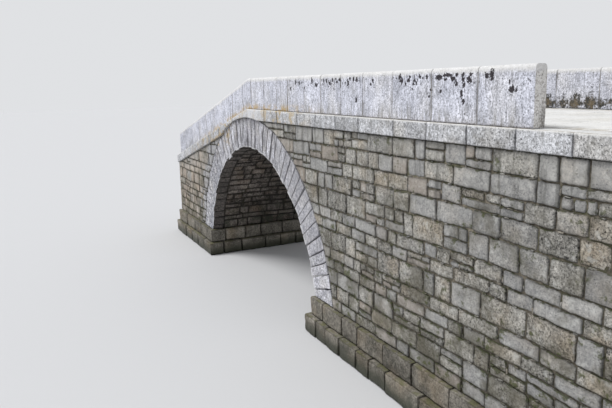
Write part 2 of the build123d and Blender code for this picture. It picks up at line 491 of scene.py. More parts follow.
class Stones:
    """Collects separate closed stones into one mesh."""

    def __init__(self, seed):
        self.rng = np.random.default_rng(seed)
        self.verts, self.faces, self.slots, self.marks = [], [], [], []
        self.count = 0

    def add(self, verts, faces, wear, slot=0, damp=0.0):
        """One stone, with two random numbers of its own."""
        marks = np.empty((len(verts), 4))
        marks[:, :2] = self.rng.random(2)
        marks[:, 2] = wear
        marks[:, 3] = damp
        self.append(np.asarray(verts, float), faces, marks, slot)

    def append(self, verts, faces, marks, slot=0):
        """Keeps the faces turned outwards."""
        if volume(verts - verts.mean(0), fan(faces)) < 0:
            faces = [f[::-1] for f in faces]
        self.verts.append(verts)
        self.marks.append(marks)
        self.faces += [tuple(i + self.count for i in f) for f in faces]
        self.slots += [slot] * len(faces)
        self.count += len(verts)

    def take(self, mesh):
        """Adds what a recipe has made."""
        verts = np.empty(len(mesh.vertices) * 3, np.float32)
        mesh.vertices.foreach_get("co", verts)
        marks = np.empty(len(mesh.vertices) * 4, np.float32)
        mesh.attributes["stone"].data.foreach_get("color", marks)
        faces = [tuple(f.vertices) for f in mesh.polygons]
        self.append(verts.reshape(-1, 3).astype(float), faces, marks.reshape(-1, 4))
        bpy.data.meshes.remove(mesh)

    def finish(self, name, node, *coats):
        """The piece, in place of one node of the solids and no larger than their box.
        """
        mesh = bpy.data.meshes.new(name)
        verts = np.clip(np.concatenate(self.verts), np.array(cad_box[0]), np.array(cad_box[1]))
        mesh.from_pydata(verts.tolist(), [], self.faces)
        marks = np.concatenate(self.marks).astype(np.float32).ravel()
        mesh.attributes.new("stone", "FLOAT_COLOR", "POINT").data.foreach_set("color", marks)
        mesh.polygons.foreach_set("material_index", self.slots)
        mesh.polygons.foreach_set("use_smooth", [True] * len(mesh.polygons))
        for coat in coats:
            mesh.materials.append(material(coat))
        mesh.update()
        piece = bpy.data.objects.new(name, mesh)
        bpy.context.scene.collection.objects.link(piece)
        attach(piece, "root")
        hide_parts(node)


def inward(outline, distance):
    """A closed outline moved inwards, each corner along its bisector."""
    before = outline - np.roll(outline, 1, 0)
    after = np.roll(outline, -1, 0) - outline
    before /= np.linalg.norm(before, axis=1)[:, None]
    after /= np.linalg.norm(after, axis=1)[:, None]
    left = np.stack([-before[:, 1], before[:, 0]], 1) + np.stack([-after[:, 1], after[:, 0]], 1)
    length = np.maximum((left ** 2).sum(1), 0.5)
    return outline + left * (2 * distance / length)[:, None]


def area(outline):
    x, y = outline[:, 0], outline[:, 1]
    return 0.5 * float(x @ np.roll(y, -1) - y @ np.roll(x, -1))


def tidy(outline, shortest=0.004):
    """The outline without repeated corners, counter-clockwise."""
    keep = np.linalg.norm(outline - np.roll(outline, 1, 0), axis=1) > shortest
    outline = outline[keep]
    return outline if area(outline) > 0 else outline[::-1]


def box_outline(left, right, low, high):
    """The corners of a box in the plane of a face."""
    return np.array([(left, low), (right, low), (right, high), (left, high)])


def clip_line(outline, along, up, limit):
    """The part of an outline where along * u + up * v <= limit."""
    kept = []
    past = outline @ np.array([along, up]) - limit
    for here in range(len(outline)):
        on = (here + 1) % len(outline)
        if past[here] <= 0:
            kept.append(outline[here])
        if (past[here] < 0 < past[on]) or (past[on] < 0 < past[here]):
            share = past[here] / (past[here] - past[on])
            kept.append(outline[here] + share * (outline[on] - outline[here]))
    return np.array(kept).reshape(-1, 2)


def refine(outline, longest):
    """The outline with points along its sides, no further apart than the longest step."""
    fine = []
    for a, b in zip(outline, np.roll(outline, -1, 0)):
        count = max(1, math.ceil(np.linalg.norm(b - a) / longest))
        fine += [a + (b - a) * k / count for k in range(count)]
    return np.array(fine)


def clip_circle(outline, radius, step=0.06):
    """The part of an outline outside a circle about the arch's centre, with the arc in short steps."""
    centre = np.array([0.0, CENTRE])
    fine = refine(outline, 0.02)
    out = np.linalg.norm(fine - centre, axis=1) >= radius
    if out.all():
        return outline
    if not out.any():
        return np.zeros((0, 2))
    start = next(i for i in range(len(fine)) if out[i] and not out[i - 1])
    kept = []
    for i in np.roll(np.arange(len(fine)), -start):
        if not out[i]:
            break
        kept.append(fine[i])
    kept = np.array(kept)
    bend = np.abs(np.cross(kept[1:-1] - kept[:-2], kept[2:] - kept[1:-1])) > 1e-9
    line = [kept[0], *kept[1:-1][bend], kept[-1]]
    begin, end = (math.atan2(p[1] - CENTRE, p[0]) for p in (line[-1], line[0]))
    steps = max(1, int(abs(end - begin) * radius / step))
    angles = np.linspace(begin, end, steps + 1)
    arc = centre + radius * np.stack([np.cos(angles), np.sin(angles)], 1)
    return tidy(np.concatenate([np.array(line[1:-1]).reshape(-1, 2), arc]))


def hand_dressed(rng, outline, knock, waver):
    """The outline with its corners knocked off and its sides not quite straight."""
    outline = tidy(outline)
    before, after = np.roll(outline, 1, 0) - outline, np.roll(outline, -1, 0) - outline
    points = []
    for here, back, on in zip(outline, before, after):
        lengths = np.linalg.norm(back), np.linalg.norm(on)
        if abs(np.cross(back / lengths[0], on / lengths[1])) < 0.2:
            points.append(here)
            continue
        for way, length in zip((back, on), lengths):
            points.append(here + way * min(knock * rng.uniform(0.3, 1.4) / length, 0.3))
    points = refine(tidy(np.array(points), 0.002), 0.10)
    return inward(points, rng.uniform(0, waver, len(points)))


def from_sides(outline, points):
    """Each point's distance from the outline's nearest side, and whether it lies inside."""
    start, end = outline, np.roll(outline, -1, 0)
    side = end - start
    rel = points[:, None] - start[None]
    share = np.clip((rel * side).sum(2) / (side ** 2).sum(1), 0, 1)
    gap = np.linalg.norm(rel - share[..., None] * side, axis=2).min(1)
    on = points[:, None] - end[None]
    turned = np.arctan2(rel[..., 0] * on[..., 1] - rel[..., 1] * on[..., 0], (rel * on).sum(2)).sum(1)
    return gap, turned > 3


def face_points(rng, outline, edge, grid, arris):
    """The points of a stone's face: its edge, two rings inside the arris, and a loose grid within."""
    low, high = edge.min(0), edge.max(0)
    columns, rows = (max(1, round(s / grid)) for s in (high - low))
    across, up = np.meshgrid((np.arange(columns) + 0.5) / columns, (np.arange(rows) + 0.5) / rows)
    inner = np.stack([across.ravel(), up.ravel()], 1) * (high - low) + low
    inner += rng.uniform(-0.12, 0.12, inner.shape) * grid
    gap, within = from_sides(outline, inner)
    inner = inner[within & (gap > max(1.6 * arris, 0.4 * grid))]
    rings = []
    for share in (0.3, 1.0):
        ring = inward(edge, arris * share)
        rings.append(ring[from_sides(outline, ring)[0] > arris * share * 0.7])
    return np.concatenate([edge, *rings, inner])


def panel(stones, outline, place, depth, arris, rough, joint, tilt, proud=0.0, grid=0.07, grain=4.0,
          damp=0.0):
    """One stone whose face is an outline in (u, v): a worn, uneven face, with sides and a back."""
    outline = tidy(inward(tidy(outline), joint / 2))
    if len(outline) < 3 or area(outline) < 0.004:
        return
    rng = stones.rng
    edge = refine(outline, grid * 1.25)
    low, high = edge.min(0), edge.max(0)
    count = len(edge)
    points = [tuple(p) for p in face_points(rng, outline, edge, grid, arris)]
    net = delaunay_2d_cdt(points, [], [list(range(count))], 1, 1e-5)
    flat = np.array([tuple(v) for v in net[0]])
    faces = [tuple(f) for f in net[2]]
    if len(flat) < count or np.abs(flat[:count] - edge).max() > 1e-3 or not faces:
        return
    gap = from_sides(outline, flat)[0]
    world = place(flat[:, 0], flat[:, 1], 0.0)
    chip = arris * (0.75 + 0.9 * np.clip(noise(world, 9, 3, 2), -0.5, 1))
    fall = np.where(gap < chip, chip - np.sqrt(np.maximum(chip ** 2 - (chip - gap) ** 2, 0)), 0)
    shift = rng.uniform(0, 50)
    bumps = noise(world, grain, shift, 4) * rough + noise(world, grain * 5, shift, 2) * rough * 0.35
    soft = np.clip(gap / (2.5 * arris), 0, 1)
    half = max(0.2, np.abs(high - low).max() / 2)
    lean = (flat - (low + high) / 2) @ rng.uniform(-1, 1, 2) * tilt / half
    front = place(flat[:, 0], flat[:, 1], proud + lean - fall + bumps * (0.3 + 0.7 * soft))
    back = place(edge[:, 0], edge[:, 1], np.full(count, -depth))
    behind = len(flat)
    faces += [((i + 1) % count, i, behind + i, behind + (i + 1) % count) for i in range(count)]
    faces.append(tuple(behind + i for i in reversed(range(count))))
    wear = np.concatenate([np.clip(gap / 0.05, 0, 1), np.zeros(count)])
    stones.add(np.concatenate([front, back]), faces, wear, 0, damp)


def core(stones, outline, place, front, back):
    """A plain closed body behind the stones: an outline carried from one depth to another."""
    outline = np.asarray(outline, float)
    count = len(outline)
    verts = [place(outline[:, 0], outline[:, 1], np.full(count, depth)) for depth in (front, back)]
    faces = [tuple(range(count)), tuple(count + i for i in reversed(range(count)))]
    faces += [((i + 1) % count, i, count + i, count + (i + 1) % count) for i in range(count)]
    stones.add(np.concatenate(verts), faces, 1.0, 1)


# Places on the bridge: (u, v) lie in a face, and h is the height over it

def points_at(x, y, z):
    """Points from three coordinates, any of which may be one number for all."""
    return np.stack(np.broadcast_arrays(x, y, z), 1)


def side_place(side):
    """A long face: u from the crown, v the height, h outwards from the wall's face."""
    return lambda u, v, h: points_at(CROWN + u, side * (FACE + h), v)


def end_place(x, hand):
    """The wall across one end: u across the bridge, v the height, h outwards."""
    return lambda u, v, h: points_at(CROWN + x + hand * h, u, v)


def arc_place(u, v, h):
    """Under the arch: u across the bridge, v along the curve from the right, h inwards."""
    angle = v / RADIUS
    return points_at(CROWN + (RADIUS - h) * np.cos(angle), u, CENTRE + (RADIUS - h) * np.sin(angle))


def road_place(u, v, h):
    """The carriageway: u from the crown, v across it, h upwards."""
    return points_at(CROWN + u, v, surface(u) + h)


def body_place(u, v, h):
    """The side view: u from the crown, v the height above the arch's centre, h across the bridge."""
    return points_at(CROWN + u, h, CENTRE + v)


def fractions(rng, total, low, high):
    """Marks from 0 to total with random steps between low and high, fitted to the whole."""
    steps = []
    while sum(steps) < total - 0.25 * (low + high):
        steps.append(rng.uniform(low, high))
    steps = np.array(steps or [total])
    return np.concatenate([[0], np.cumsum(steps) * total / steps.sum()])


def pairs(marks):
    """Each mark with the next."""
    return zip(marks, marks[1:])


# The bridge's stonework

# Each kind of stonework takes these materials; their node trees are made further down.
materials = {}


def material(name):
    if name not in materials:
        materials[name] = bpy.data.materials.new(name)
        materials[name].use_nodes = True
    return materials[name]


laid = laid_stones()
ring_stones = ring_of_stones()
pins = pinning_stones()

# How a laid stone is made where nothing else is said.
PLAIN = {
    "Cuts along": 10, "Cuts across": 6, "Cuts up": 6, "Edge cuts": 1, "Lower arris": 0.02,
    "Upper arris": 0.02, "Least end": 0.012, "Greatest end": 0.022, "Roughness": 0.009, "Grain": 4.0,
    "Lean": 0.0, "Follow road": 0.0, "Top limit": -10.0, "Ring radius": 0.0, "Damp": 0.0}


def lay(stones, name, starts, sizes, seed, coat, **changes):
    """Whole stones from their lowest corners and sizes."""
    changes = {key.replace("_", " "): value for key, value in changes.items()}
    values = {**PLAIN, **changes, "Seed": seed, "Material": material(coat)}
    stones.take(laid.run(name, starts, [], {"size": ("FLOAT_VECTOR", sizes)}, values))


# The beds of the rubble walls, and how their stones are dressed.
BEDS = SPRINGING + fractions(np.random.default_rng(11), ROAD - COURSE - SPRINGING, 0.24, 0.46)
RUBBLE = {"depth": 0.14, "arris": 0.022, "joint": 0.010}

# The corner stones: their lengths in turn, how far they reach across the end, and their joints.
CORNER_LENGTHS = (0.92, 0.56)
LONG_REACH, SHORT_REACH = 0.80, FACE - INSIDE
CORNER_JOINT, CORNER_BED = 0.012, 0.010


def wave(points):
    """Beds that wander a little, but run true beside the ring, the string course, the foot and ends."""
    u, v = points[:, 0], points[:, 1]
    room = np.minimum.reduce([wall_top(u) - v, v - SPRINGING, np.hypot(u, v - CENTRE) - BEHIND_RING,
                              u + LEFT - 1.0, RIGHT - 1.0 - u])
    fade = np.clip(room / 0.7, 0, 1)
    where = np.stack([u * 0.45, v * 0.5, u * 0.0], 1)
    # Slow waves of up to 75 mm and shorter ones of 12 mm, and up to 30 mm along the wall.
    lift = noise(where, 1.0, 5, 2) * 0.075 + noise(where, 5.0, 6, 2) * 0.012
    sway = noise(where, 3.0, 7, 2) * 0.03
    return points + np.stack([sway, lift], 1) * fade[:, None]


def broken_up(rng, left, right, low, high):
    """One place in a course: mostly one stone, now and then two or three smaller ones."""
    wide, tall = right - left, high - low
    choice = rng.random()
    if choice < 0.16 and tall > 0.26 and wide > 0.4:
        bed, cut = low + tall * rng.uniform(0.38, 0.62), left + wide * rng.uniform(0.35, 0.65)
        if rng.random() < 0.5:
            return [(left, right, low, bed), (left, cut, bed, high), (cut, right, bed, high)]
        return [(left, cut, low, bed), (cut, right, low, bed), (left, right, bed, high)]
    if choice < 0.24 and tall > 0.3 and wide < 0.75:
        bed = low + tall * rng.uniform(0.4, 0.6)
        return [(left, right, low, bed), (left, right, bed, high)]
    return [(left, right, low, high)]


def corner_reach(row, end):
    """How far a corner stone reaches across the end of the bridge: further in every other course."""
    bonded = row % 2 and BEDS[row + 1] <= wall_top(end)
    return LONG_REACH if bonded else SHORT_REACH


def course_of_rubble(rng, row, end):
    """The stones of one course from the ring to the corner, and the length of the corner stone."""
    low, high = BEDS[row], BEDS[row + 1]
    at_ring = [math.sqrt(max(BEHIND_RING ** 2 - (z - CENTRE) ** 2, 0.0)) for z in (low, high)]
    corner = CORNER_LENGTHS[row % 2] + rng.uniform(-0.06, 0.06)
    first = at_ring[0] - at_ring[1] + rng.uniform(0.2, 0.55)
    others = fractions(rng, end - corner - at_ring[1] - first, 0.32, 1.0)[1:]
    marks = at_ring[1] + np.concatenate([[0, first], first + others])
    return [box for a, b in pairs(marks) for box in broken_up(rng, a, b, low, high)], corner


def fitted(outline, hand):
    """The outline cut under the string course and round the ring, or nothing where little is left."""
    outline = tidy(outline)
    if hand < 0:
        outline = clip_line(outline, -SLOPE, 1, ROAD - COURSE)
    if len(outline) < 3 or abs(area(outline)) < 0.01:
        return None
    outline = clip_circle(tidy(outline), BEHIND_RING)
    return None if len(outline) < 3 or area(outline) < 0.01 else outline


def face_walls(side, label):
    """The rough coursed stones of one long face, shared between its wing walls and spandrels."""
    place = side_place(side)
    names = ("left_wing_wall", "left_spandrel", "right_spandrel", "right_wing_wall")
    pieces = {name: Stones(100 + 10 * number + side) for number, name in enumerate(names)}
    joints = {name: [] for name in names}
    corners = {"left": [], "right": []}
    rng = np.random.default_rng(40 + side)
    for row, (bottom, top) in enumerate(pairs(BEDS)):
        for hand, end, hand_name in ENDS:
            boxes, length = course_of_rubble(rng, row, end)
            for near, far, low, high in boxes:
                outline = fitted(box_outline(hand * near, hand * far, low, high), hand)
                if outline is None:
                    continue
                name = hand_name + ("_wing_wall" if abs(outline[:, 0].mean()) > SEAM else "_spandrel")
                outline = hand_dressed(rng, wave(refine(outline, 0.2)), 0.04, 0.018)
                panel(pieces[name], outline, place, rough=0.019, tilt=0.010,
                      proud=rng.uniform(-0.018, 0.006), **RUBBLE)
                corner = hand * near, low
                joints[name] += [(corner, (hand * far, low)), (corner, (hand * near, high))]
            # At the foot of the ramp the walls have fewer courses.
            if hand > 0 or bottom < wall_top(-end) - 0.05:
                x = CROWN + (end - length + CORNER_JOINT if hand > 0 else -end)
                reach = corner_reach(row, hand * end) - CORNER_JOINT
                y = -FACE if side == NEAR else FACE - reach
                corners[hand_name].append(((x, y, bottom + CORNER_BED / 2),
                                           (length - CORNER_JOINT, reach, top - bottom - CORNER_BED)))
    back = INSIDE - FACE
    for hand, end, name in ENDS:
        wing, spandrel = pieces[name + "_wing_wall"], pieces[name + "_spandrel"]
        starts, sizes = zip(*corners[name])
        lay(wing, "corner stones", starts, sizes, 5, "wall stone", Top_limit=COURSE + 0.006)
        seam, tip = hand * SEAM, hand * (end - 0.03)
        outline = [(tip, SPRINGING), (seam, SPRINGING), (seam, wall_top(seam)), (tip, wall_top(tip))]
        core(wing, tidy(np.array(outline)), place, -0.03, back)
        outline = [(0, SPRINGING), (seam, SPRINGING), (seam, wall_top(seam)), (0, ROAD - COURSE)]
        core(spandrel, clip_circle(tidy(np.array(outline)), BEHIND_RING), place, -0.03, back)
    for name, stones in pieces.items():
        pack_joints(stones, joints[name], side, 3 + side + len(name))
        stones.finish(f"{label}_{name}_stonework", f"{label}_{name}", "wall stone", "wall mortar")


def pack_joints(stones, joints, side, seed):
    """Pinning stones along a wall's joints, each of which is followed in four steps."""
    points, edges, upright = [], [], []
    for begin, end in joints:
        share = stones.rng.uniform(0.15, 0.45)
        begin, end = np.array(begin), np.array(end)
        line = np.array([begin + (end - begin) * (share + (0.88 - share) * k / 4) for k in range(5)])
        u, v = line.T
        off_ring = np.hypot(u, v - CENTRE) > BEHIND_RING + 0.1
        if not (off_ring & (v < wall_top(u) - 0.05) & (v > SPRINGING + 0.05)).all():
            continue
        first = len(points)
        points += list(side_place(side)(*wave(line).T, -0.016))
        edges += [(first + k, first + k + 1) for k in range(4)]
        upright += [1.0 if begin[0] == end[0] else 0.0] * 5
    values = {"Spacing": 0.42, "Least length": 0.05, "Greatest length": 0.13, "Height": 0.024,
              "Depth": 0.034, "Seed": seed, "Material": material("wall stone")}
    stones.take(pins.run("pinning stones", points, edges, {"upright": ("FLOAT", upright)}, values))


def voussoirs(side, label):
    """The stones of one ring, each a worn wedge; one hangs lower than its neighbours on the near face."""
    middle = RING_STONES // 2
    values = {
        "Stones": RING_STONES, "Radius": RADIUS, "Depth": RING, "Thickness": FACE - INSIDE, "Joint": 0.009,
        "Foot angle": FOOT_ANGLE, "Rise": RISE, "Side": float(side), "Hanging stone": 14.0,
        "Hang": 0.07 if side == NEAR else 0.0, "Unevenness": 0.0075, "Arris": 0.019, "Roughness": 0.017,
        "Seed": 60 + side, "Material": material("arch stone")}
    for part, first, last in (("left_voussoirs", 0, middle - 1), ("keystone", middle, middle),
                              ("right_voussoirs", middle + 1, RING_STONES - 1)):
        stones = Stones(1)
        values.update({"First stone": first, "Last stone": last})
        stones.take(ring_stones.run(part, [], [], {}, values))
        stones.finish(f"{label}_{part}_stonework", f"{label}_{part}", "arch stone")


def string_courses(side, label):
    """The projecting course, stone by stone, cut over the crown of the ring."""
    rng = np.random.default_rng(90 + side)
    depth, joint, most_setback = FACE + PROUD - INSIDE, 0.010, 0.008
    for part, x0, x1 in (("ramp", -LEFT, 0.0), ("level", 0.0, RIGHT)):
        stones = Stones(301 + side + len(part))
        marks = x0 + fractions(rng, x1 - x0, 0.85, 1.5)
        starts, sizes = [], []
        for begin, end in pairs(marks):
            y = -FACE - PROUD + rng.uniform(0.0, most_setback) if side == NEAR else INSIDE
            starts.append((CROWN + begin + joint / 2, y, ROAD - COURSE))
            sizes.append((end - begin - joint, depth - most_setback * (side == FAR), COURSE))
        lay(stones, "string course", starts, sizes, 20 + side + len(part), "course stone", Cuts_along=16,
            Cuts_across=7, Lower_arris=0.014, Least_end=0.008, Greatest_end=0.016, Roughness=0.007,
            Follow_road=1.0, Ring_radius=EXTRADOS + 0.003)
        node = f"{label}_{part}_string_course"
        stones.finish(node + "_stones", node, "course stone")


# The parapets' slabs: a row of one length up the ramp, one over the crown, and the level ones by length.
RAMP_SLABS, RAMP_SLAB, SLAB_GAP = 8, 1.05, 0.008
CROWN_SLAB = [-0.5, 0.28]
LEVEL_SLABS = {
    NEAR: [1.05, 0.95, 0.75, 1.04, 0.94, 1.0, 0.98, 1.12, 1.26, 1.22, 1.22],
    FAR: [1.1, 1.06, 0.9, 1.02, 1.01, 0.99, 1.02, 1.23, 1.18, 1.02, 1.0]}


def parapets(side, label):
    """The upright slabs, with round shoulders, leaning a few millimetres each way."""
    rows = {"ramp_parapet": [CROWN_SLAB[0] - RAMP_SLAB * k for k in range(RAMP_SLABS, -1, -1)],
            "crown_slab": CROWN_SLAB,
            "level_parapet": CROWN_SLAB[1] + np.concatenate([[0], np.cumsum(LEVEL_SLABS[side])])}
    y = -OUTSIDE if side == NEAR else OUTSIDE - THICK
    for part, marks in rows.items():
        stones = Stones(1)
        starts = [(CROWN + begin + SLAB_GAP / 2, y, ROAD) for begin in marks[:-1]]
        sizes = [(end - begin - SLAB_GAP, THICK, PARAPET) for begin, end in pairs(marks)]
        lay(stones, "parapet", starts, sizes, 30 + side + len(part), "parapet stone",
            Cuts_along=13 if part == "crown_slab" else 17, Cuts_across=8, Cuts_up=18, Edge_cuts=3,
            Lower_arris=0.012, Upper_arris=0.075, Least_end=0.008, Greatest_end=0.026, Roughness=0.007,
            Grain=2.6, Lean=0.006, Follow_road=1.0)
        stones.finish(f"{label}_{part}_stones", f"{label}_{part}", "parapet stone")


def arch_lining():
    """The rubble courses of the vault between the two rings, one piece for each fifth of the curve."""
    names = ["right_springing", "right_haunch", "crown", "left_haunch", "left_springing"]
    pieces = [Stones(501 + number) for number in range(5)]
    rng = np.random.default_rng(31)
    foot = math.asin(RISE / RADIUS)
    sweep = math.pi - 2 * foot
    begin, whole = foot * RADIUS, sweep * RADIUS
    for v0, v1 in pairs(fractions(rng, whole, 0.17, 0.36)):
        # The stones are rougher and damp within 1.3 m of the springings.
        low = float(np.clip(1 - min(v0, whole - v1) / 1.3, 0, 1))
        stones = pieces[min(4, int((v0 + v1) / 2 / whole * 5))]
        for u0, u1 in pairs(-INSIDE + fractions(rng, 2 * INSIDE, 0.28, 0.95)):
            box = refine(box_outline(u0, u1, v0, v1), 0.2)
            room = np.minimum.reduce([box[:, 1], whole - box[:, 1], INSIDE - np.abs(box[:, 0])])
            where = np.stack([box[:, 0], box[:, 1], box[:, 0] * 0], 1)
            sway = np.stack([noise(where, 1.3, 2, 2), noise(where, 0.9, 3, 2)], 1) * (0.045, 0.05)
            box = box + sway * np.clip(room / 0.4, 0, 1)[:, None] + (0, begin)
            outline = hand_dressed(rng, box, 0.03, 0.012)
            panel(stones, outline, arc_place, 0.12, arris=0.022 + 0.014 * low, rough=0.020 + 0.016 * low,
                  joint=0.016, proud=rng.uniform(-0.026, 0.010) + 0.012 * low, damp=low,
                  tilt=0.012 + 0.012 * low)
    inner, outer = RADIUS + 0.035, RADIUS + 0.7
    # The part behind each fifth of the lining.
    for number, name in enumerate(names):
        angles = np.linspace(foot + sweep * number / 5, foot + sweep * (number + 1) / 5, 16)
        outline = [(inner * math.cos(angle), max(inner * math.sin(angle), RISE)) for angle in angles]
        outline += [(outer * math.cos(angle), outer * math.sin(angle)) for angle in angles[::-1]]
        core(pieces[number], outline, body_place, -INSIDE, INSIDE)
        pieces[number].finish(f"vault_{name}_stonework", f"vault_{name}", "vault stone", "vault mortar")


def end_walls():
    """The walls across the two ends, coursed with the long faces."""
    for hand, end, name in ENDS:
        rng = np.random.default_rng(61 + hand)
        stones = Stones(601 + hand)
        place = end_place(hand * end, hand)
        top = surface(hand * end) - PAVING
        for row, (bottom, bed) in enumerate(pairs([*BEDS, ROAD])):
            bed = min(bed, top)
            if bed - bottom < 0.05:
                continue
            reach = FACE - corner_reach(row, hand * end) if row < len(BEDS) - 1 else INSIDE
            marks = -reach + fractions(rng, 2 * reach, 0.32, 0.95)
            for box in [box for a, b in pairs(marks) for box in broken_up(rng, a, b, bottom, bed)]:
                outline = hand_dressed(rng, box_outline(*box), 0.04, 0.018)
                panel(stones, outline, place, rough=0.016, tilt=0.008,
                      proud=rng.uniform(-0.024, -0.008), **RUBBLE)
        core(stones, box_outline(-INSIDE, INSIDE, SPRINGING, top), place, -0.035, -0.6)
        stones.finish(f"{name}_end_wall_stonework", f"{name}_end_wall", "wall stone", "wall mortar")


def roadways():
    """Large worn paving slabs, laid across the bridge in rows."""
    for name, x0, x1 in (("ramp", -LEFT, 0.0), ("level", 0.0, RIGHT)):
        rng = np.random.default_rng(80 + len(name))
        stones = Stones(701 + len(name))
        for u0, u1 in pairs(x0 + fractions(rng, x1 - x0, 0.55, 0.95)):
            for v0, v1 in pairs(-INSIDE + fractions(rng, 2 * INSIDE, 0.55, 1.3)):
                outline = hand_dressed(rng, box_outline(u0, u1, v0, v1), 0.03, 0.006)
                panel(stones, outline, road_place, PAVING - 0.02, arris=0.009, rough=0.004, joint=0.007,
                      tilt=0.0015, proud=-0.003, grid=0.1, grain=1.6)
        core(stones, box_outline(x0, x1, -INSIDE, INSIDE), road_place, -0.014, -PAVING)
        stones.finish(f"{name}_paving", f"{name}_roadway", "paving stone", "paving dust")


def foundations():
    """Two courses of large rough blocks round each abutment, each standing out beyond the one above."""
    step, deep, joint, inner = 0.12, 0.6, 0.012, 0.3
    for name in ("left", "right"):
        low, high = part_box(name + "_foundation")
        rng = np.random.default_rng(20 + len(name))
        stones = Stones(801 + len(name))
        tall = (high.z - low.z) / 2
        for row in range(2):
            inset = row * step
            x0, x1, y0, y1 = low.x + inset, high.x - inset, low.y + inset, high.y - inset
            z0 = low.z + row * tall
            laid_out = {True: ([], []), False: ([], [])}
            for along, begin, end, edge in ((True, x0, x1, y0), (True, x0, x1, y1 - deep),
                                            (False, y0 + deep, y1 - deep, x0),
                                            (False, y0 + deep, y1 - deep, x1 - deep)):
                for s0, s1 in pairs(begin + fractions(rng, end - begin, 0.6, 1.3)):
                    back = rng.uniform(0.0, 0.03)
                    length, start, wide = s1 - s0 - joint, s0 + joint / 2, deep - 2 * back
                    starts, sizes = laid_out[along]
                    starts.append((start, edge + back, z0) if along else (edge + back, start, z0))
                    sizes.append((length, wide, tall) if along else (wide, length, tall))
            for along, (starts, sizes) in laid_out.items():
                lay(stones, "footing", starts, sizes, 40 + row + 5 * along, "foundation stone",
                    Cuts_along=12 if along else 7, Cuts_across=7 if along else 12, Cuts_up=7,
                    Lower_arris=0.03, Upper_arris=0.05, Least_end=0.02, Greatest_end=0.05,
                    Roughness=0.028, Damp=1.0, Grain=2.6)
            outline = box_outline(x0 + inner, x1 - inner, y0 + inner, y1 - inner)
            core(stones, outline, points_at, z0 + tall - 0.04, z0)
        node = f"{name}_foundation"
        stones.finish(node + "_stonework", node, "foundation stone", "vault mortar")


for side, label in ((NEAR, "near"), (FAR, "far")):
    face_walls(side, label)
    voussoirs(side, label)
    string_courses(side, label)
    parapets(side, label)
arch_lining()
end_walls()
roadways()
foundations()


# Materials

class Surface(Tree):
    """The material of one kind of stone, with the places and marks that its colours depend on."""

    def __init__(self, name):
        super().__init__(material(name).node_tree)
        self.group.nodes.clear()
        self.place = self.add("ShaderNodeTexCoord", out=3)
        self.x, self.y, self.z = self.split(self.place)
        self.nx, _, self.nz = self.split(self.add("ShaderNodeNewGeometry", out=1))
        mark = self.add("ShaderNodeAttribute", attribute_name="stone")
        self.first, self.second, self.wear = self.split(mark)
        self.damp = mark.outs()[3]
        self.along = self.x - CROWN
        self.over_road = self.z - (self.along.least(0.0) * SLOPE + ROAD)
        own = self.join(self.first * 37.0, self.second * 53.0, self.first * 71.0)
        self.own = self.shift(self.place, own)

    def cells(self, where, scale):
        return self.add("ShaderNodeTexVoronoi", {"Vector": where, "Scale": scale, "Randomness": 1.0})

    def patches(self, scale, low, high, detail=4.0, rough=0.6):
        """Ragged patches that run on from stone to stone, from 0 to 1."""
        return self.noise(self.place, scale, detail, rough).step(low, high)

    def streaks(self, across, down, seed=0.0):
        """Marks that run down the face, from 0 to 1."""
        where = self.join(self.x * across + seed, self.y * across, self.z * down)
        return self.noise(where, 1.0, 5.0, 0.62)

    def from_centre(self):
        """The distance from the axis of the arch."""
        up = self.z - CENTRE
        return (self.along * self.along + up * up).root()

    def granite(self, light, dark, warm, warmth, contrast, streaked, speckle):
        """The colour and the relief of a granite face: grain, mottling, a tone for each stone and runs."""
        blotch = self.noise(self.own, 2.4, 5.0, 0.6)
        self.mottle = self.noise(self.own, 14.0, 5.0, 0.78)
        self.grain = self.noise(self.own, 34.0, 3.0, 0.7)
        grit = self.noise(self.place, 130.0, 2.0, 0.6)
        flecks = self.noise(self.own, 30.0, 4.0, 0.8)
        spread = self.noise(self.own, 6.0, 3.0, 0.6).span(0.36, 0.64, 0.30, -0.12)
        pits = (self.cells(self.own, 27.0) + spread).fade(0.06, 0.28)
        colour = self.mix(dark, light, (blotch * 0.55 + self.mottle * 0.45).step(0.36, 0.62))
        colour = self.mix(colour, warm, self.noise(self.own, 1.1, 3.0, 0.5).step(0.45, 0.75) * warmth)
        tone = (self.second - 0.5) * contrast + (self.grain - 0.5) * speckle * 2.4
        tone = tone + (grit - 0.5) * speckle * 2.0 + 1.0
        tone = tone + (self.mottle - 0.5).span(-0.14, 0.14, -speckle, speckle) - pits * speckle * 2.0
        tone = tone - flecks.step(0.52, 0.59) * speckle * 2.3 + flecks.fade(0.40, 0.48) * speckle * 1.2
        run = self.streaks(6.0, 0.5).step(0.5, 0.78) * (1.0 - abs(self.nz).step(0.3, 0.8))
        colour = self.scale(colour, tone * (1.0 - run * streaked))
        relief = blotch * 0.4 + self.mottle * 0.5 + self.grain * 0.35 + grit * 0.12 - pits * 0.35
        return colour, relief

    def finish(self, colour, rough, relief, depth):
        bump = self.add("ShaderNodeBump", {"Strength": 1.0, "Distance": depth, "Height": relief})
        values = {"Base Color": colour, "Roughness": rough, "Specular IOR Level": 0.3, "Normal": bump}
        shader = self.add("ShaderNodeBsdfPrincipled", values)
        self.add("ShaderNodeOutputMaterial", {"Surface": shader})


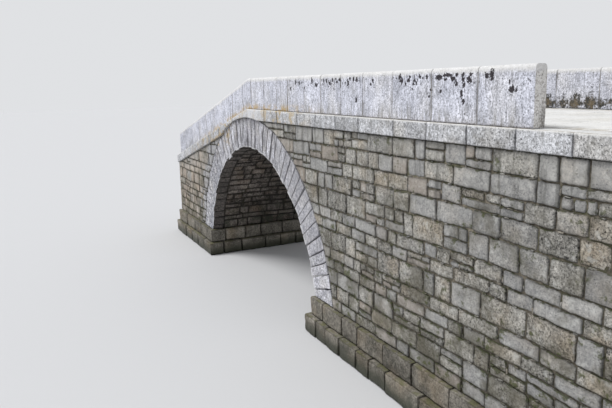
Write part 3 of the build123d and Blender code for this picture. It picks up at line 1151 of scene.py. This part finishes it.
# Black lichen on the near parapet: crusts as (distance from the crown, depth below the top, half width,
# half height), and clusters of specks as (distance from the crown, half width, how dense).
CRUSTS = [
    (3.25, 0.33, 0.06, 0.05), (3.58, 0.17, 0.04, 0.08), (3.80, 0.20, 0.05, 0.05), (4.10, 0.33, 0.05, 0.04),
    (4.55, 0.14, 0.05, 0.09), (4.79, 0.25, 0.08, 0.06), (5.18, 0.15, 0.03, 0.06), (5.33, 0.16, 0.03, 0.06),
    (5.51, 0.23, 0.07, 0.05), (5.62, 0.15, 0.03, 0.05), (5.84, 0.19, 0.04, 0.04), (5.98, 0.14, 0.04, 0.05),
    (6.35, 0.22, 0.05, 0.10), (6.45, 0.13, 0.04, 0.04), (6.60, 0.14, 0.045, 0.045),
    (6.74, 0.15, 0.05, 0.06), (6.71, 0.59, 0.05, 0.07), (7.31, 0.26, 0.05, 0.03), (7.40, 0.20, 0.04, 0.06),
    (8.38, 0.13, 0.05, 0.05), (8.45, 0.20, 0.05, 0.06), (8.57, 0.27, 0.04, 0.03), (8.68, 0.20, 0.05, 0.05),
    (8.83, 0.27, 0.04, 0.03), (9.02, 0.14, 0.04, 0.04), (9.12, 0.17, 0.03, 0.03), (9.24, 0.14, 0.04, 0.05),
    (9.30, 0.49, 0.03, 0.03), (9.36, 0.38, 0.035, 0.03), (9.57, 0.16, 0.12, 0.055),
    (9.63, 0.40, 0.04, 0.035), (9.76, 0.20, 0.04, 0.03), (9.82, 0.13, 0.15, 0.035),
    (9.99, 0.19, 0.055, 0.05), (10.06, 0.28, 0.035, 0.07), (10.06, 0.13, 0.04, 0.04),
    (10.22, 0.14, 0.05, 0.045), (10.24, 0.21, 0.045, 0.05), (10.25, 0.30, 0.045, 0.05),
    (10.38, 0.21, 0.07, 0.065), (10.42, 0.13, 0.04, 0.035), (10.19, 0.44, 0.03, 0.09),
    (10.24, 0.57, 0.035, 0.06), (10.79, 0.16, 0.05, 0.06), (10.90, 0.15, 0.05, 0.10),
    (11.29, 0.27, 0.02, 0.04), (11.34, 0.38, 0.065, 0.06), (11.43, 0.39, 0.02, 0.035)]
CLUSTERS = [(3.6, 1.6, 0.10), (5.6, 1.9, 0.14), (8.6, 1.2, 0.13), (10.1, 0.9, 0.13), (-3.5, 3.0, 0.05)]


def black_lichen(face, outer, end):
    """Crusts on the near parapet, and specks under the top edge of both."""
    drop = PARAPET - face.over_road
    here, nearest = face.join(face.along, drop, 0.0), None
    for where, depth, wide, tall in CRUSTS:
        values = {0: here, 1: (1.0 / wide, 1.0 / tall, 0.0), 2: (-where / wide, -depth / tall, 0.0)}
        gap = face.length(face.vector("MULTIPLY_ADD", values))
        nearest = gap if nearest is None else nearest.least(gap)
    near = (0.0 - face.y).step(0.0, 0.1) * (1.0 - end) * outer
    ragged = face.noise(face.place, 22.0, 3.0, 0.6)
    crust = ((1.0 - nearest).most(-1.0) * 0.30 + ragged).step(0.50, 0.55) * near
    specks = face.noise(face.join(face.x * 21.0, face.y * 21.0, face.z * 12.0), 1.0, 2.0, 0.5)
    parts = [face.along.hill(where, half) * dense for where, half, dense in CLUSTERS]
    clusters = sum(parts[1:], parts[0])
    band = drop.step(0.05, 0.12) * drop.fade(0.20, 0.50)
    return crust.most((specks + clusters * band * outer).step(0.72, 0.75) * drop.step(0.06, 0.12))


def brown_moss(face, outer, end):
    """Where moss grows, along the feet of the inner faces, and its colour."""
    lumps = face.noise(face.place, 9.0, 5.0, 0.75)
    clumps = face.noise(face.join(face.x * 3.2, face.y * 3.2, 3.0), 1.0, 2.0, 0.6)
    rise = abs(face.over_road - 0.13).span(0.0, 0.36, 0.16, -0.20)
    moss = (lumps + rise + clumps.span(0.36, 0.64, -0.09, 0.09)).step(0.48, 0.60)
    dark = (lumps * 0.6 + face.mottle * 0.4).step(0.45, 0.55)
    brown = face.mix((0.16, 0.118, 0.058), (0.02, 0.02, 0.011), dark)
    return moss * (1.0 - outer) * (1.0 - end * 0.6), brown


def parapet_stone():
    face = Surface("parapet stone")
    # Painted light: the tones are tinted blue for the sky's light on the shaded faces.
    colour, relief = face.granite(
        light=(0.85, 0.86, 0.95), dark=(0.59, 0.60, 0.67), warm=(0.77, 0.74, 0.71), warmth=0.45,
        contrast=0.12, streaked=0.22, speckle=0.20)
    flank = 1.0 - abs(face.nz).step(0.35, 0.75)
    fine = face.streaks(24.0, 3.2, 2.0) * 0.7 + face.mottle * 0.3
    colour = face.scale(colour, 1.0 - fine.step(0.51, 0.62) * flank * 0.46 + fine.fade(0.36, 0.46) * 0.12)
    outer = (abs(face.y) - (OUTSIDE - THICK / 2)).step(-0.06, 0.06)
    # The worn top is bleached, and its paleness is partly a painted highlight on the top, which faces the
    # light.
    wander = (face.noise(face.place, 3.0, 3.0, 0.6) - 0.5) * 0.12
    top = (face.over_road + wander).step(PARAPET - 0.15, PARAPET - 0.05)
    bleached = face.scale(face.join(0.80, 0.785, 0.755), face.grain * 0.5 + face.mottle * 0.4 + 0.55)
    colour = face.mix(colour, bleached, top * 0.8)
    # Dirt gathers in the joints, more in some than in others, rises from the foot and hangs from the top.
    joint = face.wear.fade(0.05, 0.75) * face.patches(2.2, 0.36, 0.60, 3.0, 0.5) * (1.0 - top * 0.8)
    colour = face.mix(colour, (0.115, 0.11, 0.11), joint * (face.first.step(0.15, 0.9) * 0.5 + 0.4) * flank)
    rising = face.streaks(11.0, 1.3, 4.0).step(0.44, 0.66) * face.over_road.fade(0.0, 0.5) * flank
    colour = face.mix(colour, (0.31, 0.295, 0.26), rising * 0.6)
    # Painted shade: the slabs are darker towards the foot of the ramp.
    colour = face.scale(colour, face.along.step(-9.2, -5.0, 0.86, 1.0))
    hanging = face.streaks(15.0, 1.1, 8.0).step(0.53, 0.68) * face.over_road.step(0.3, PARAPET - 0.12)
    colour = face.mix(colour, (0.24, 0.235, 0.24), hanging * (1.0 - top) * flank * 0.42)
    # The end faces are tan and pebbly.
    end = abs(face.nx).step(0.75, 0.95) * (1.0 - top * 0.8)
    pebbles = face.cells(face.place, 30.0)
    between = pebbles.step(0.34, 0.66) * face.mottle.step(0.42, 0.56)
    colour = face.mix(colour, face.mix((0.90, 0.87, 0.81), (0.40, 0.36, 0.31), between), end * 0.75)
    crust = black_lichen(face, outer, end)
    colour = face.mix(colour, (0.016, 0.010, 0.012), crust * 0.95)
    # The inner faces are a little darker. Ochre lichen grows along the outer feet near the crown.
    colour = face.scale(colour, outer * 0.06 + 0.94)
    ochre = face.along.step(-7.0, -2.0) * face.along.fade(3.0, 5.5) * face.over_road.fade(0.02, 0.24)
    colour = face.mix(colour, (0.55, 0.36, 0.10), ochre * face.patches(4.5, 0.42, 0.58) * outer * 0.75)
    moss, brown = brown_moss(face, outer, end)
    colour = face.mix(colour, brown, moss * 0.92)
    dots = face.patches(13.0, 0.70, 0.73, 2.0, 0.5) * (1.0 - outer) * (1.0 - top)
    colour = face.mix(colour, (0.045, 0.04, 0.04), dots * 0.9)
    relief = relief + end * pebbles * -0.6 - crust * 0.12 + moss * 0.8 + fine * 0.2
    face.finish(colour, 0.9 - top * 0.1, relief, 0.018)


def course_stone():
    face = Surface("course stone")
    colour, relief = face.granite(
        light=(0.68, 0.685, 0.71), dark=(0.42, 0.42, 0.43), warm=(0.59, 0.54, 0.45), warmth=0.4,
        contrast=0.22, streaked=0.3, speckle=0.24)
    # Painted highlight: the top of the course, which faces the light, is painted pale.
    edge = face.over_road.step(-0.045, -0.008)
    colour = face.mix(colour, (0.80, 0.79, 0.76), edge * face.grain.step(0.2, 0.5) * 0.8)
    ochre = face.patches(3.6, 0.48, 0.60, rough=0.65)
    ochre = face.along.step(-8.5, -2.0) * face.along.fade(2.6, 5.0) * ochre
    colour = face.mix(colour, (0.52, 0.36, 0.12), ochre * 0.7)
    soot = face.patches(7.0, 0.54, 0.7) * (1.0 - edge)
    colour = face.mix(colour, (0.14, 0.13, 0.11), soot * 0.5)
    drip = face.streaks(13.0, 1.2, 3.0).step(0.50, 0.68) * (1.0 - edge)
    colour = face.mix(colour, (0.20, 0.195, 0.18), drip * 0.45)
    over_ring = face.along.hill(0.3, 2.2)
    colour = face.mix(colour, (0.80, 0.80, 0.82), over_ring * face.grain.step(0.3, 0.5) * 0.6)
    worn = (face.wear.step(0.0, 0.6, 0.5, 1.0) + over_ring * 0.4).least(1.0)
    colour = face.scale(colour, worn * (1.0 - edge) + edge)
    # Litter lies on the ledge before the parapet's foot and along the road's side behind it.
    out = abs(face.y)
    ledge = (out - OUTSIDE).step(-0.02, 0.02) * (out - OUTSIDE).fade(0.03, 0.07)
    ledge = ledge + (INSIDE + 0.12 - out).step(0.0, 0.10)
    litter = ledge.least(1.0) * face.nz.step(0.5, 0.8) * face.patches(5.0, 0.36, 0.50, rough=0.65)
    colour = face.mix(colour, (0.24, 0.185, 0.12), litter * 0.8)
    face.finish(colour, 0.9, relief, 0.02)


def arch_stone():
    face = Surface("arch stone")
    colour, relief = face.granite(
        light=(0.71, 0.705, 0.75), dark=(0.39, 0.385, 0.42), warm=(0.59, 0.55, 0.50), warmth=0.5,
        contrast=0.34, streaked=0.3, speckle=0.26)
    up = face.z - CENTRE
    length = face.from_centre()
    high = up.step(2.6, 4.6)
    left, right = face.along.step(-2.6, -3.6), face.along.step(1.5, 3.0)
    # Dark runs high up, and chalky patches all over. The right haunch is smooth, and the left is pitted.
    runs = face.streaks(12.0, 2.0, 9.0) * 0.7 + face.mottle * 0.3 + face.wear.step(0.1, 1.0, 0.09, 0.0)
    runs = runs.step(0.49, 0.60) * high * face.along.step(-3.0, -0.8, 0.5, 0.8)
    colour = face.mix(colour, (0.11, 0.105, 0.11), runs)
    chalk = (face.noise(face.own, 4.0, 4.0, 0.65) + face.along.step(-3.0, -4.4, 0.0, 0.05)).step(0.54, 0.66)
    colour = face.mix(colour, (0.76, 0.755, 0.745), chalk * 0.6 * (1.0 - high * 0.5))
    smooth = face.mix((0.30, 0.30, 0.335), (0.52, 0.51, 0.52), face.mottle.step(0.42, 0.58))
    colour = face.mix(colour, smooth, right * up.step(1.6, 3.0) * 0.6)
    pitted = left * face.noise(face.own, 11.0, 4.0, 0.75).step(0.47, 0.55)
    colour = face.mix(colour, (0.15, 0.15, 0.165), pitted * 0.8)
    ochre = face.along.step(-0.8, -2.6) * face.patches(3.4, 0.52, 0.63)
    ochre = ochre * (face.over_road + COURSE).step(-0.65, -0.1)
    colour = face.mix(colour, (0.48, 0.34, 0.12), ochre * 0.7)
    shaded = left * (length - RADIUS).fade(0.10, 0.55) * face.streaks(9.0, 1.2, 5.0).step(0.36, 0.60)
    colour = face.mix(colour, (0.25, 0.265, 0.32), shaded * 0.6)
    # The rim round the opening is pale, and the joints are dark.
    rim = (RADIUS + 0.09 - length).step(0.0, 0.05)
    colour = face.mix(colour, (0.74, 0.735, 0.74), rim * face.grain.step(0.35, 0.5) * 0.7)
    outermost = (length - (EXTRADOS - 0.10)).step(0.0, 0.06) * face.along.hill(0.0, 1.4)
    dirt = face.wear.fade(0.0, 0.5) * face.patches(4.0, 0.30, 0.54, 3.0, 0.55)
    dirt = dirt * (1.0 - rim * 0.5) * (1.0 - outermost) * (high * 0.2 + 0.6)
    colour = face.mix(colour, (0.09, 0.085, 0.08), dirt)
    # Painted shade: under the arch the stones are painted as dark as the vault.
    radial = (face.nx * face.along + face.nz * up) / length
    behind = (FACE - 0.022 - abs(face.y)).step(0.0, 0.05) * (RADIUS + 0.30 - length).step(0.0, 0.1)
    paler = face.mottle.step(0.40, 0.62) * face.second.step(0.1, 0.9, 0.35, 1.0)
    dark = face.mix((0.035, 0.030, 0.026), (0.17, 0.145, 0.125), paler)
    dark = face.scale(dark, face.wear.step(0.0, 0.6, 0.4, 1.0))
    colour = face.mix(colour, dark, radial.fade(-0.65, -0.25).most(behind) * 0.95)
    face.finish(colour, 0.92, relief, 0.026)


def wall_stone():
    face = Surface("wall stone")
    colour, relief = face.granite(
        light=(0.47, 0.45, 0.41), dark=(0.235, 0.225, 0.20), warm=(0.42, 0.34, 0.24), warmth=0.6,
        contrast=0.55, streaked=0.35, speckle=0.26)
    colour = face.mix(colour, (0.42, 0.42, 0.425), face.first.step(0.35, 0.6) * 0.5)
    colour = face.mix(colour, (0.37, 0.28, 0.20), face.first.step(0.92, 0.95) * 0.4)
    rosy = face.along.step(-4.0, -6.0) * face.noise(face.own, 0.8, 4.0, 0.6).step(0.3, 0.6)
    colour = face.mix(colour, (0.60, 0.49, 0.40), rosy * 0.55)
    pale = face.noise(face.own, 6.5, 4.0, 0.6).step(0.56, 0.68)
    colour = face.mix(colour, (0.62, 0.615, 0.58), pale * 0.5)
    # The stones next to the ring's left haunch are of the ring's own granite.
    beside = (EXTRADOS + 0.6 + (face.first - 0.5) * 0.5 - face.from_centre()).step(0.0, 0.1)
    ringlike = face.mix((0.25, 0.25, 0.275), (0.62, 0.62, 0.64), face.mottle.step(0.40, 0.58))
    colour = face.mix(colour, ringlike, beside * face.along.step(-1.6, -2.4) * 0.65)
    # The wall is bleached under the string course, and stained and mossy towards the foot.
    below = -COURSE - face.over_road
    bleached = below.step(0.0, 0.9, 0.5, 0.0) * face.patches(2.2, 0.4, 0.6, rough=0.55)
    colour = face.mix(colour, (0.56, 0.55, 0.52), bleached)
    low = face.z.step(0.6, 4.4, 1.0, 0.1)
    stain = (face.noise(face.place, 1.1, 5.0, 0.65) + low * 0.14).step(0.50, 0.74)
    colour = face.mix(colour, (0.115, 0.105, 0.075), stain * 0.75)
    drip = face.streaks(5.0, 0.35, 6.0).step(0.50, 0.66) * below.fade(0.2, 2.6)
    colour = face.mix(colour, (0.10, 0.098, 0.085), drip * 0.55)
    moss = face.noise(face.place, 4.0, 5.0, 0.7) + face.nz.step(0.0, 0.7) * 0.12 + low * 0.07
    moss = moss.step(0.60, 0.70)
    green = face.mix((0.10, 0.105, 0.035), (0.055, 0.07, 0.02), face.grain.step(0.4, 0.6))
    colour = face.mix(colour, green, moss * 0.8)
    colour = face.scale(colour, face.wear.step(0.0, 0.8, 0.5, 1.0))
    face.finish(colour, 0.93, relief + moss * 0.25, 0.034)


def vault_stone():
    face = Surface("vault stone")
    # Painted shade: the vault's colours are kept dark to stand for the shade under the arch.
    colour, relief = face.granite(
        light=(0.24, 0.21, 0.185), dark=(0.05, 0.043, 0.038), warm=(0.20, 0.145, 0.10), warmth=0.6,
        contrast=0.9, streaked=0.2, speckle=0.3)
    lime = face.noise(face.own, 5.0, 5.0, 0.72).step(0.55, 0.66)
    colour = face.mix(colour, (0.46, 0.42, 0.37), lime * 0.5)
    colour = face.scale(colour, 1.0 - face.patches(0.9, 0.45, 0.65) * 0.35)
    colour = face.mix(colour, (0.03, 0.034, 0.022), face.damp * face.patches(3.0, 0.32, 0.6) * 0.8)
    colour = face.scale(colour, face.wear.step(0.0, 0.8, 0.25, 1.0))
    face.finish(colour, 0.85 - face.damp * 0.3, relief, 0.04)


def foundation_stone():
    face = Surface("foundation stone")
    colour, relief = face.granite(
        light=(0.30, 0.275, 0.235), dark=(0.12, 0.112, 0.092), warm=(0.24, 0.18, 0.11), warmth=0.5,
        contrast=0.5, streaked=0.3, speckle=0.16)
    tide = face.noise(face.place, 2.5, 4.0, 0.6) * 0.3 + face.z
    colour = face.mix((0.045, 0.047, 0.03), colour, tide.step(0.22, 0.62))
    moss = face.nz.step(0.4, 0.9) * face.patches(5.0, 0.42, 0.58, rough=0.65)
    green = face.mix((0.17, 0.165, 0.075), (0.10, 0.105, 0.04), face.mottle.step(0.42, 0.58))
    colour = face.mix(colour, green, moss * 0.7)
    colour = face.scale(colour, face.wear.step(0.0, 0.8, 0.62, 1.0))
    face.finish(colour, tide.step(0.22, 0.62, 0.45, 0.92), relief, 0.036)


def paving_stone():
    face = Surface("paving stone")
    colour, relief = face.granite(
        light=(0.81, 0.80, 0.78), dark=(0.68, 0.67, 0.64), warm=(0.76, 0.71, 0.62), warmth=0.35,
        contrast=0.08, streaked=0.0, speckle=0.06)
    colour = face.mix(colour, (0.82, 0.81, 0.785), face.patches(0.9, 0.45, 0.65) * 0.6)
    gutter = (abs(face.y) - (INSIDE - 0.40)).step(0.0, 0.40) * face.patches(4.0, 0.38, 0.62)
    colour = face.mix(colour, (0.38, 0.32, 0.22), gutter * 0.65)
    colour = face.mix((0.40, 0.37, 0.32), colour, face.nz.step(0.3, 0.7))
    face.finish(colour, 0.88, relief, 0.006)


def bedding(name, light, dark, moss):
    """Mortar, earth or dust between the stones."""
    face = Surface(name)
    lumps = face.noise(face.place, 9.0, 5.0, 0.7)
    grit = face.noise(face.place, 60.0, 3.0, 0.6)
    colour = face.mix(dark, light, lumps.step(0.35, 0.65))
    colour = face.mix(colour, (0.06, 0.07, 0.025), face.patches(3.0, 0.5, 0.6) * moss)
    face.finish(face.scale(colour, grit * 0.5 + 0.75), 0.95, lumps * 0.6 + grit * 0.4, 0.02)


parapet_stone()
course_stone()
arch_stone()
wall_stone()
vault_stone()
foundation_stone()
paving_stone()
bedding("wall mortar", (0.23, 0.20, 0.155), (0.09, 0.08, 0.06), 0.5)
bedding("vault mortar", (0.05, 0.042, 0.035), (0.02, 0.018, 0.015), 0.2)
bedding("paving dust", (0.80, 0.77, 0.71), (0.62, 0.58, 0.50), 0.0)

for part in ("left_fill", "right_fill"):
    coats = bpy.data.objects[part].data.materials
    coats.clear()
    coats.append(material("wall mortar"))


# Floor, surround, light and camera

bpy.ops.mesh.primitive_plane_add(size=400, location=(0, 0, -0.002))
floor = bpy.context.object
floor.name = "floor"
floor.data.materials.append(material("floor"))
ground = Tree(material("floor").node_tree)
ground.group.nodes.clear()
matt = ground.add("ShaderNodeBsdfPrincipled", {"Base Color": (0.66, 0.66, 0.665), "Roughness": 1.0})
ground.add("ShaderNodeOutputMaterial", {"Surface": matt})

# The world lights the bridge softly; the camera and reflections see a paler tone.
world = bpy.data.worlds.new("surround")
bpy.context.scene.world = world
world.use_nodes = True
sky = Tree(world.node_tree)
sky.group.nodes.clear()
rays = {out.socket.name: out for out in sky.add("ShaderNodeLightPath").outs()}
seen_directly = rays["Is Camera Ray"].most(rays["Is Glossy Ray"])
tone = sky.mix((0.54, 0.555, 0.58), (0.745, 0.756, 0.775), seen_directly)
backdrop = sky.add("ShaderNodeBackground", {"Color": tone, "Strength": 1.0})
sky.add("ShaderNodeOutputWorld", {"Surface": backdrop})

sun = bpy.data.lights.new("soft_sun", "SUN")
sun.energy = 2.1
sun.angle = math.radians(25)
sun_object = bpy.data.objects.new("soft_sun", sun)
sun_object.rotation_euler = Vector((0.30, 0.52, -0.95)).to_track_quat("-Z", "Y").to_euler()
bpy.context.scene.collection.objects.link(sun_object)

# The camera stands before the near face, a little below the top of the parapet, and looks along the face.
# Its angles, in degrees, are the tilt up from straight down, the roll and the heading.
lens = bpy.data.cameras.new("camera")
lens.sensor_width = 36
lens.lens = lens.sensor_width * 610 / 612
lens.clip_end = 500
camera = bpy.data.objects.new("camera", lens)
camera.location = (CROWN + 18.448, -OUTSIDE - 6.930, ROAD + PARAPET - 0.227)
camera.rotation_euler = [math.radians(angle) for angle in (78.892, 1.332, 64.033)]
bpy.context.scene.collection.objects.link(camera)
bpy.context.scene.camera = camera
bpy.context.scene.view_settings.view_transform = "Standard"
